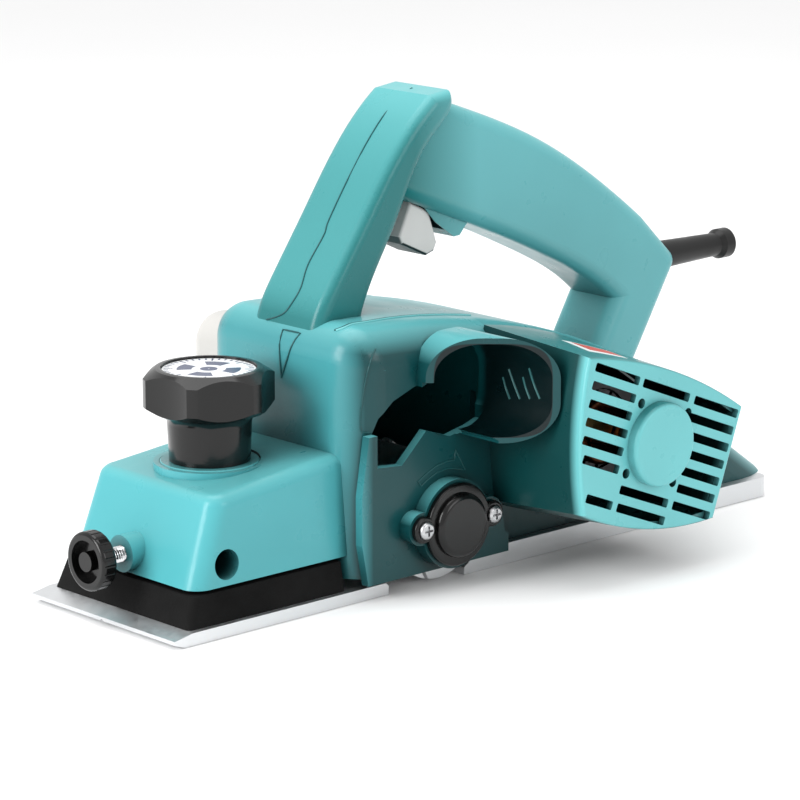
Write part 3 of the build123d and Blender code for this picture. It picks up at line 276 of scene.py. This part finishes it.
MATERIALS = {
    # the nose in painted light, the body behind it in painted shade; the last colour is a painted highlight
    # on faces that look up
    "body_teal": painted_light_moulding(
        "body_teal", "X", (0.066, 0.330, 0.360), (0.002, 0.046, 0.050),
        -0.045, -0.036, (0.100, 0.380, 0.400), chute=True,
    ),
    # the pillar in painted shade, the grip in painted light; the last colour is a painted highlight on
    # faces that look up
    "handle_teal": painted_light_moulding(
        "handle_teal", "X", (0.012, 0.140, 0.143), (0.100, 0.350, 0.372),
        0.010, 0.045, (0.100, 0.400, 0.415),
    ),
    # the end face in painted light, the barrel in painted shade; the last colour is painted light on faces
    # that look up
    "housing_teal": painted_light_moulding(
        "housing_teal", "Y", (0.120, 0.410, 0.425), (0.003, 0.040, 0.041),
        -0.0900, -0.0860, (0.020, 0.170, 0.175),
    ),
    "sole_aluminium": metal(
        "sole_aluminium", (0.36, 0.37, 0.38), (0.60, 0.61, 0.62), (0.30, 0.48), (0.12, 1, 1), 1400,
    ),
    "collar_black": moulded(
        "collar_black", (0.003, 0.003, 0.003), (0.010, 0.010, 0.010), (0.7, 0.9),
        0.0, 1500, 0.00020, 0.12,
    ),
    "dial_blue": moulded("dial_blue", (0.010, 0.022, 0.075), (0.014, 0.030, 0.100), (0.25, 0.35), 0.3),
    "label_red": moulded("label_red", (0.50, 0.055, 0.035), (0.58, 0.070, 0.045), (0.35, 0.45), 0.1),
    "label_white": moulded("label_white", (0.70, 0.76, 0.76), (0.80, 0.84, 0.84), (0.35, 0.45), 0.1),
    "line_dark": moulded("line_dark", (0.004, 0.060, 0.064), (0.006, 0.080, 0.084), (0.35, 0.45), 0.0),
    "rib_teal": moulded("rib_teal", (0.010, 0.080, 0.082), (0.014, 0.100, 0.102), (0.35, 0.45), 0.0),
    # a paler teal, used for the painted highlight along the deck step
    "rim_light": moulded("rim_light", (0.14, 0.46, 0.47), (0.18, 0.52, 0.53), (0.30, 0.40), 0.1),
    "gloss_black": moulded(
        "gloss_black", (0.002, 0.002, 0.002), (0.004, 0.004, 0.004), (0.14, 0.24), 0.15, shine=0.30,
    ),
    "scale_white": moulded("scale_white", (0.72, 0.73, 0.74), (0.80, 0.81, 0.82), (0.25, 0.35), 0.3),
    # painted shade: black on the trigger's underside
    "trigger_grey": underside_painted_shade("trigger_grey", (0.52, 0.52, 0.51), (0.60, 0.60, 0.59)),
    "screw_steel": metal(
        "screw_steel", (0.42, 0.42, 0.43), (0.62, 0.62, 0.63), (0.24, 0.38), (1, 1, 1), 700,
    ),
    "bright_steel": metal(
        "bright_steel", (0.62, 0.62, 0.63), (0.80, 0.80, 0.81), (0.12, 0.24), (1, 1, 1), 900,
    ),
    "spring_steel": metal(
        "spring_steel", (0.30, 0.30, 0.31), (0.46, 0.46, 0.47), (0.28, 0.42), (1, 1, 1), 1500,
    ),
    "drum_alloy": metal(
        "drum_alloy", (0.46, 0.47, 0.48), (0.66, 0.67, 0.68), (0.26, 0.42), (1, 0.2, 1), 1400,
    ),
    "blade_steel": metal(
        "blade_steel", (0.60, 0.60, 0.61), (0.80, 0.80, 0.81), (0.18, 0.32), (1, 0.1, 1), 1800,
    ),
    "bearing_steel": metal(
        "bearing_steel", (0.40, 0.40, 0.41), (0.58, 0.58, 0.59), (0.22, 0.36), (1, 1, 1), 1100,
    ),
    "belt_rubber": moulded(
        "belt_rubber", (0.010, 0.010, 0.010), (0.022, 0.022, 0.022), (0.6, 0.8), 0.0, 1200, 0.00008,
    ),
    "copper": metal(
        "copper", (0.16, 0.055, 0.028), (0.26, 0.10, 0.050), (0.28, 0.44), (1, 0.1, 1), 2600, 0.00012,
    ),
    "lamination": metal(
        "lamination", (0.07, 0.07, 0.075), (0.15, 0.15, 0.155), (0.40, 0.55), (0.05, 1, 0.05),
        3000, 0.0001,
    ),
    "brush_brass": metal(
        "brush_brass", (0.30, 0.20, 0.07), (0.46, 0.33, 0.13), (0.26, 0.40), (1, 1, 1), 900,
    ),
    "carbon": moulded(
        "carbon", (0.012, 0.012, 0.013), (0.030, 0.030, 0.032), (0.55, 0.75), 0.0, 2600, 0.00006,
    ),
    "fan_plastic": moulded("fan_plastic", (0.010, 0.010, 0.011), (0.018, 0.018, 0.019), (0.40, 0.55), 0.1),
    "switch_plastic": moulded(
        "switch_plastic", (0.010, 0.010, 0.011), (0.020, 0.020, 0.021), (0.40, 0.55), 0.1,
    ),
    "guard_rubber": moulded(
        "guard_rubber", (0.006, 0.006, 0.006), (0.014, 0.014, 0.014), (0.30, 0.42),
        0.0, 1800, 0.00004, 0.3,
    ),
    "cover_silver": moulded("cover_silver", (0.46, 0.45, 0.43), (0.56, 0.55, 0.53), (0.30, 0.40), 0.2),
}

slot_of = {row["node"]: row["material_slot"] for row in frame["record"]["subparts"]}


def dress(node, material):
    """Puts a material on a CAD node."""
    piece = nodes[node]
    if not piece.material_slots:
        piece.data.materials.append(material)
    for place in piece.material_slots:
        place.material = material


for node in nodes:
    dress(node, MATERIALS[slot_of[node]])


# ---------------------------------------------------------------- small shapes
def piece_of(name, made, body, *materials):
    """Turns a bmesh into an object that moves with a body."""
    bmesh.ops.recalc_face_normals(made, faces=made.faces)
    mesh = bpy.data.meshes.new(name)
    made.to_mesh(mesh)
    made.free()
    piece = bpy.data.objects.new(name, mesh)
    scene.collection.objects.link(piece)
    for material in materials:
        mesh.materials.append(MATERIALS[material])
    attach(piece, body)
    return piece


def rounded(points, steps=6):
    """A smooth open line through points in millimetres, in metres."""
    last = len(points) - 1
    line = []
    for i in range(last):
        near = [Vector(points[min(max(i + k, 0), last)]) for k in (-1, 0, 1, 2)]
        for step in range(steps):
            t = step / steps
            a = 2 * near[1]
            b = (near[2] - near[0]) * t
            c = (2 * near[0] - 5 * near[1] + 4 * near[2] - near[3]) * t * t
            d = (-near[0] + 3 * near[1] - 3 * near[2] + near[3]) * t**3
            line.append((a + b + c + d) * 0.5 * MM)
    line.append(Vector(points[-1]) * MM)
    return line


def straight(points, steps):
    """A closed line with straight sides through points in millimetres, in metres."""
    line = []
    for i, point in enumerate(points):
        ahead = Vector(points[(i + 1) % len(points)])
        line += [Vector(point).lerp(ahead, step / steps) * MM for step in range(steps)]
    return line


def on_surface(spot, hosts, lift):
    """The nearest point on any of the host nodes, lifted off it."""
    best = None
    for host in hosts:
        found, place, normal = nodes[host].closest_point_on_mesh(spot)[:3]
        if found and (best is None or (place - spot).length < (best[0] - spot).length):
            best = (place, normal)
    return best[0] + best[1] * lift


def skin(made, rings, closed=False):
    """Joins rings of vertices into a tube, shut at both ends unless it runs back into itself."""
    sides = len(rings[0])
    following = rings[1:] + rings[:1] if closed else rings[1:]
    for first, second in zip(rings, following):
        for k in range(sides):
            made.faces.new((first[k], first[(k + 1) % sides], second[(k + 1) % sides], second[k]))
    if not closed:
        made.faces.new(rings[0])
        made.faces.new(rings[-1])


def bead(name, line, radius, material, closed=False, hosts=()):
    """A thin round line on the frame. On host nodes it follows their surface, half sunk in it."""
    sides = 8
    aside = Vector((0.31, 0.17, 0.93))  # runs along none of the lines
    made = bmesh.new()
    if hosts:
        line = [on_surface(spot, hosts, radius * 0.35) for spot in line]
    rings = []
    count = len(line)
    for i, spot in enumerate(line):
        ahead = line[(i + 1) % count] if closed or i < count - 1 else spot
        behind = line[i - 1] if closed or i else spot
        along = (ahead - behind).normalized()
        across = along.cross(aside).normalized()
        upward = across.cross(along)
        ring = []
        for k in range(sides):
            turn = math.tau * k / sides
            ring.append(made.verts.new(spot + (across * math.cos(turn) + upward * math.sin(turn)) * radius))
        rings.append(ring)
    skin(made, rings, closed)
    return piece_of(name, made, "frame", material)


def sector(made, inner, outer, start, end, low, high, index, centre, steps=8):
    """A flat ring sector between two radii and two angles, added to a bmesh."""
    layers = []
    for radius, level in ((inner, low), (outer, low), (outer, high), (inner, high)):
        row = []
        for k in range(steps + 1):
            turn = start + (end - start) * k / steps
            across, along = radius * math.cos(turn), radius * math.sin(turn)
            row.append(made.verts.new((centre[0] + across, centre[1] + along, level)))
        layers.append(row)
    for side in range(4):
        first, second = layers[side], layers[(side + 1) % 4]
        for k in range(steps):
            made.faces.new((first[k], first[k + 1], second[k + 1], second[k])).material_index = index
    for k in (0, steps):
        made.faces.new([layer[k] for layer in layers]).material_index = index


def drape(name, node, corners, lift, material):
    """A thin patch laid on a node from above: its four corners are given in plan, in millimetres."""
    cells = (14, 10)
    sunk = -0.15 * MM
    above = 0.2
    down = Vector((0, 0, -1))
    source = nodes[node]
    made = bmesh.new()
    levels = []
    for offset in (sunk, lift):
        rows = []
        for i in range(cells[0] + 1):
            u = i / cells[0]
            row = []
            for j in range(cells[1] + 1):
                v = j / cells[1]
                a = Vector(corners[0]).lerp(Vector(corners[1]), u)
                b = Vector(corners[3]).lerp(Vector(corners[2]), u)
                spot = a.lerp(b, v) * MM
                hit = source.ray_cast(Vector((spot.x, spot.y, above)), down)[1]
                row.append(made.verts.new((spot.x, spot.y, hit.z + offset)))
            rows.append(row)
        levels.append(rows)
    low, high = levels
    for rows in levels:
        for i in range(cells[0]):
            for j in range(cells[1]):
                made.faces.new((rows[i][j], rows[i + 1][j], rows[i + 1][j + 1], rows[i][j + 1]))
    around = [(i, 0) for i in range(cells[0])] + [(cells[0], j) for j in range(cells[1])]
    around += [(i, cells[1]) for i in range(cells[0], 0, -1)] + [(0, j) for j in range(cells[1], 0, -1)]
    for k, (i, j) in enumerate(around):
        m, n = around[(k + 1) % len(around)]
        made.faces.new((low[i][j], low[m][n], high[m][n], high[i][j]))
    return piece_of(name, made, "frame", material)


# ---------------------------------------------------------------- dial on the knob
def dial():
    """Pale disc with dark divisions and no figures."""
    low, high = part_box("knob_scale")
    centre = ((low[0] + high[0]) / 2, (low[1] + high[1]) / 2)
    radius = (high[0] - low[0]) / 2
    made = bmesh.new()
    rings = []
    sides = 72
    bevel = 0.2 * MM
    face_z = high[2] - 0.06 * MM
    for r, z in ((radius, low[2]), (radius, face_z - bevel), (radius - bevel, face_z)):
        ring = []
        for k in range(sides):
            turn = math.tau * k / sides
            ring.append(made.verts.new((centre[0] + r * math.cos(turn), centre[1] + r * math.sin(turn), z)))
        rings.append(ring)
    skin(made, rings)
    print_low = face_z - 0.05 * MM
    divisions, fields, half_tick = 40, 4, 0.02
    for k in range(divisions):
        turn = math.tau * k / divisions
        inner = 13.0 if k % 5 == 0 else 14.6
        start, end = turn - half_tick, turn + half_tick
        sector(made, inner * MM, 16.3 * MM, start, end, print_low, high[2], 1, centre, 1)
    for k in range(fields):
        turn = math.tau * k / fields
        sector(made, 6.2 * MM, 11.6 * MM, turn + 0.15, turn + 1.00, print_low, high[2], 1, centre, 10)
    sector(made, 0.4 * MM, 3.2 * MM, 0.0, math.tau * 0.999, print_low, high[2], 1, centre, 24)
    piece = piece_of("dial", made, "knob", "scale_white", "dial_blue")
    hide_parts("knob_scale")


def threaded_shank():
    """The thumb screw's shank with a 1 mm thread."""
    low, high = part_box("thumb_screw")
    centre = ((low[1] + high[1]) / 2, (low[2] + high[2]) / 2)
    crest = (high[1] - low[1]) / 2
    root = crest - 0.55 * MM
    pitch = 1 * MM
    sides = 20
    per_turn = 8
    made = bmesh.new()
    rings = []
    steps = round((high[0] - low[0]) / pitch * per_turn)
    for i in range(steps + 1):
        ring = []
        for k in range(sides):
            phase = (i / per_turn - k / sides) % 1.0
            radius = root + (crest - root) * (1 - abs(2 * phase - 1))
            turn = math.tau * k / sides
            x = low[0] + (high[0] - low[0]) * i / steps
            across, upward = radius * math.cos(turn), radius * math.sin(turn)
            ring.append(made.verts.new((x, centre[0] + across, centre[1] + upward)))
        rings.append(ring)
    skin(made, rings)
    piece = piece_of("thumb_thread", made, "thumb", "bright_steel")
    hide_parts("thumb_screw")


dial()
threaded_shank()

# ---------------------------------------------------------------- lines of the mouldings
HANDLE = ("handle_left", "handle_right")
BODY = ("main_frame",)
THIN = 0.28 * MM
FIRM = 0.32 * MM
DEEP = 0.35 * MM
PALE = 0.40 * MM
RIB = 0.45 * MM

# the parting line runs down the front pillar and bends aside at its foot
seam = [(24.8, 0, 177.5), (8.6, 0, 166.9), (-6.4, 0, 148.1), (-17.0, -0.2, 132.7), (-20.5, -1.3, 127.7)]
seam += [(-27.7, -0.6, 117.4), (-33.4, -2.5, 109.2), (-37.3, -0.3, 102.3)]
seam += [(-38.5, 3.2, 99.4), (-39.1, 9.7, 97.0)]
bead("handle_seam", rounded(seam, 12), THIN, "line_dark", hosts=HANDLE)

# a triangle under the pillar's foot points down
pointer = [(-40.6, -1.3, 95.3), (-40.6, -10.8, 95.5), (-43.0, -2.9, 78.0)]
bead("pointer_line", straight(pointer, 6), FIRM, "line_dark", closed=True, hosts=BODY)

# a panel's edge goes down the body's motor side and turns in at its lower end
panel = [(-30.8, -40.5, 92.9), (-33.2, -41.2, 90.5), (-35.1, -41.2, 86.0), (-36.2, -40.5, 80.2)]
panel += [(-37.0, -40.0, 73.5), (-37.4, -39.7, 70.6), (-37.4, -39.7, 64.3)]
panel += [(-36.7, -40.2, 63.2), (-34.6, -41.4, 62.7)]
bead("panel_line", rounded(panel), THIN, "line_dark", hosts=BODY)

# the step along the deck is a pale line, a painted highlight, with a dark one beside it, a painted shadow
step = [(-37.2, -26.5, 98.3), (-34.6, -28.4, 99.5), (-29.5, -28.1, 100.0), (-23.2, -28.2, 99.8)]
step += [(-11.2, -26.9, 99.1), (-0.1, -25.7, 98.1), (16.4, -24.3, 96.0), (34.5, -21.6, 92.7)]
shadow = [(x, y + 0.9, z + 0.05) for x, y, z in step]
bead("deck_step", rounded(step), PALE, "rim_light", hosts=BODY)
bead("deck_step_shadow", rounded(shadow), DEEP, "line_dark", hosts=BODY)

# a bent arrow over the bearing cover shows which way the drum turns
arrow_xz = [(-14.3, 41.5), (-10.0, 43.7), (-5.0, 45.9), (0.5, 46.8), (4.1, 46.6), (4.6, 50.3)]
arrow_xz += [(9.7, 41.8), (3.6, 43.6), (0.5, 44.0), (-4.5, 43.4), (-9.0, 41.6), (-12.5, 39.6)]
arrow = [(x, -45, z) for x, z in arrow_xz]
bead("turn_arrow", straight(arrow, 3), FIRM, "line_dark", closed=True, hosts=BODY)

# four slanted ribs on the chute's rear wall
ribs = [
    [(19.8, -54.4, 77.0), (19.8, -56.0, 73.1), (19.6, -58.3, 69.4)],
    [(19.8, -57.5, 80.5), (19.8, -60.2, 75.4), (19.7, -63.4, 70.3)],
    [(19.8, -64.8, 78.8), (19.8, -66.4, 74.9), (19.8, -68.5, 71.2)],
    [(19.6, -68.1, 82.7), (19.8, -70.5, 77.1), (19.8, -73.6, 72.1)],
]
for number, rib in enumerate(ribs):
    bead(f"chute_rib_{number}", rounded(rib), RIB, "rib_teal")

# ---------------------------------------------------------------- label on the motor housing
field = [(44.5, -60.0), (57.0, -72.0), (52.0, -86.5), (38.5, -80.0)]
band = [(46.0, -63.5), (56.0, -73.0), (52.5, -83.5), (42.0, -77.0)]
drape("label_field", "motor_housing", field, 0.10 * MM, "label_white")
drape("label_band", "motor_housing", band, 0.16 * MM, "label_red")


# ---------------------------------------------------------------- stage
def plain_floor():
    """A large pale floor just under the soles."""
    under = 0.0002
    mesh = bpy.data.meshes.new("floor")
    made = bmesh.new()
    bmesh.ops.create_grid(made, x_segments=1, y_segments=1, size=3.0)
    made.to_mesh(mesh)
    made.free()
    floor = bpy.data.objects.new("floor", mesh)
    scene.collection.objects.link(floor)
    floor.location = (0, 0, cad_box[0][2] - under)
    surface = Surface("floor_white", specular=0.2)
    tone = surface.ramp(surface.noise(3.0, 2.0), (0.90, 0.90, 0.90), (0.93, 0.93, 0.93))
    surface.set("Base Color", tone)
    surface.shader.inputs["Roughness"].default_value = 0.8
    mesh.materials.append(surface.material)


plain_floor()

world = bpy.data.worlds.new("studio")
scene.world = world
world.use_nodes = True
world.node_tree.nodes["Background"].inputs["Color"].default_value = (1.0, 1.0, 1.0, 1)
world.node_tree.nodes["Background"].inputs["Strength"].default_value = 0.95
scene.view_settings.view_transform = "Standard"


def softbox(name, place, aim, size, power):
    """A large soft area light at place, aimed at a point."""
    data = bpy.data.lights.new(name, "AREA")
    data.shape = "RECTANGLE"
    data.size = size[0]
    data.size_y = size[1]
    data.energy = power
    lamp = bpy.data.objects.new(name, data)
    lamp.location = place
    lamp.rotation_euler = (Vector(aim) - Vector(place)).to_track_quat("-Z", "Y").to_euler()
    scene.collection.objects.link(lamp)


softbox("top_light", (0.05, 0.15, 1.10), (0.02, 0, 0.05), (0.9, 0.9), 6)
softbox("nose_light", (-1.2, 0.15, 0.55), (-0.05, 0, 0.05), (0.5, 0.9), 12)
softbox("side_light", (0.25, -1.2, 0.60), (0.05, 0, 0.05), (0.7, 0.5), 3)

camera_data = bpy.data.cameras.new("camera")
camera_data.lens = 162.0
camera_data.sensor_width = 36.0
camera_data.clip_start = 0.05
camera = bpy.data.objects.new("camera", camera_data)
camera.location = (-0.881345, -0.972419, 0.375487)
view_target = Vector((0.01868, 0.0, 0.05898))
camera.rotation_euler = (view_target - camera.location).to_track_quat("-Z", "Y").to_euler()
scene.collection.objects.link(camera)
scene.camera = camera
